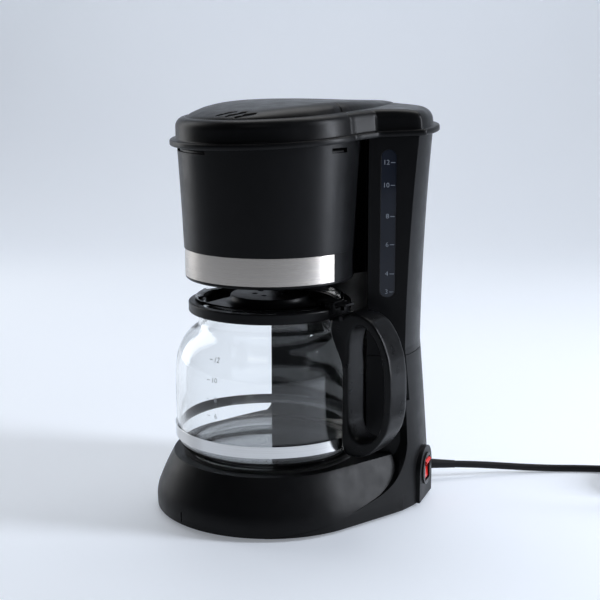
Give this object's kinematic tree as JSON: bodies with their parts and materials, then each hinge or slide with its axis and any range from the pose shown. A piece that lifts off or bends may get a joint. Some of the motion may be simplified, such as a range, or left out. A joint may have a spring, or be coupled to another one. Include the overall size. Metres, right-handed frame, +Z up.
{
  "type": "drip coffee maker",
  "caption": "Drip coffee maker: round brew head over a glass jug on a hot plate, rounded water tank column behind, hinged lid, lift-out filter, lit rocker switch and mains cord with plug.",
  "frame": {"origin": "on the floor under the middle of the machine's bounding box, measured without the free cord", "axes": "+Z up, -Y towards the front of the brew head, +X towards the side with the handle, gauge and switch"},
  "size_m": [0.3662, 0.3985, 0.3247],
  "materials": {
    "housing_black": "satin",
    "cover_black": "matte",
    "feet_rubber": "matte",
    "screw_steel": "satin",
    "plate_black": "satin",
    "seal_rubber": "matte",
    "heater_aluminium": "cast",
    "clamp_steel": "satin",
    "thermostat_black": "satin",
    "fuse_sleeve": "matte",
    "valve_white": "satin",
    "hose_rubber": "matte",
    "band_steel": "brushed",
    "tank_grey": "satin",
    "gauge_smoke": "gloss",
    "basket_black": "satin",
    "mesh_nylon": "woven",
    "jug_glass": "clear",
    "strap_steel": "polished",
    "switch_black": "gloss",
    "rocker_red": "gloss",
    "cord_black": "matte",
    "plug_black": "matte",
    "pin_nickel": "polished"
  },
  "bodies": {
    "housing": {"base_shell": "housing_black", "base_cover": "cover_black", "rubber_feet": "feet_rubber", "base_screws": "screw_steel", "hot_plate": "plate_black", "plate_seal": "seal_rubber", "heater_body": "heater_aluminium", "heater_clamp": "clamp_steel", "clamp_screw": "screw_steel", "thermostat": "thermostat_black", "thermal_fuse": "fuse_sleeve", "check_valve": "valve_white", "inlet_hose": "hose_rubber", "outlet_hose": "hose_rubber", "upper_housing": "housing_black", "steel_band": "band_steel", "water_tank": "tank_grey", "tank_strainer": "valve_white", "gauge_window": "gauge_smoke", "riser_tube": "valve_white", "riser_seal": "seal_rubber", "hinge_pin": "screw_steel", "switch_bezel": "switch_black", "switch_body": "switch_black", "strain_relief": "cord_black", "cord_tail": "cord_black", "cord_clamp": "cover_black", "power_cord": "cord_black", "cord_coil": "cord_black", "plug_lead": "cord_black", "plug_body": "plug_black", "plug_pins": "pin_nickel"},
    "lid": {"lid": "housing_black", "water_channel": "tank_grey"},
    "basket": {"filter_basket": "basket_black", "mesh_filter": "mesh_nylon", "valve_spring": "screw_steel"},
    "drip_valve": {"valve_plunger": "valve_white", "valve_seal": "seal_rubber"},
    "switch": {"switch_rocker": "rocker_red"},
    "jug": {"glass_jug": "jug_glass", "jug_collar": "housing_black", "jug_handle": "housing_black", "jug_strap": "strap_steel", "jug_screws": "screw_steel", "jug_lid_pin": "screw_steel"},
    "jug_lid": {"jug_lid": "housing_black"}
  },
  "joints": [
    {"name": "lid_hinge", "type": "hinge", "parent": "housing", "child": "lid", "pos_m": [-0.01361, 0.11145, 0.29865], "axis": [-1, 0, 0], "range_deg": [0, 95]},
    {"name": "basket_lift", "type": "slide", "parent": "housing", "child": "basket", "axis": [0, 0, 1], "range_m": [0, 0.02]},
    {"name": "valve_slide", "type": "slide", "parent": "basket", "child": "drip_valve", "axis": [0, 0, 1], "range_m": [0, 0.003], "stiffness_N_per_m": 150, "springref_m": -0.002, "deforming": ["valve_spring"]},
    {"name": "switch_rock", "type": "hinge", "parent": "housing", "child": "switch", "pos_m": [0.06354, 0.06422, 0.027], "axis": [0.515, -0.8572, 0], "range_deg": [0, 20]},
    {"name": "jug_slide", "type": "slide", "parent": "housing", "child": "jug", "axis": [0, -1, 0], "range_m": [0, 0.25]},
    {"name": "jug_lid_hinge", "type": "hinge", "parent": "jug", "child": "jug_lid", "pos_m": [0.04768, -0.01613, 0.171], "axis": [-0.2672, 0.9636, 0], "range_deg": [0, 6]}
  ]
}
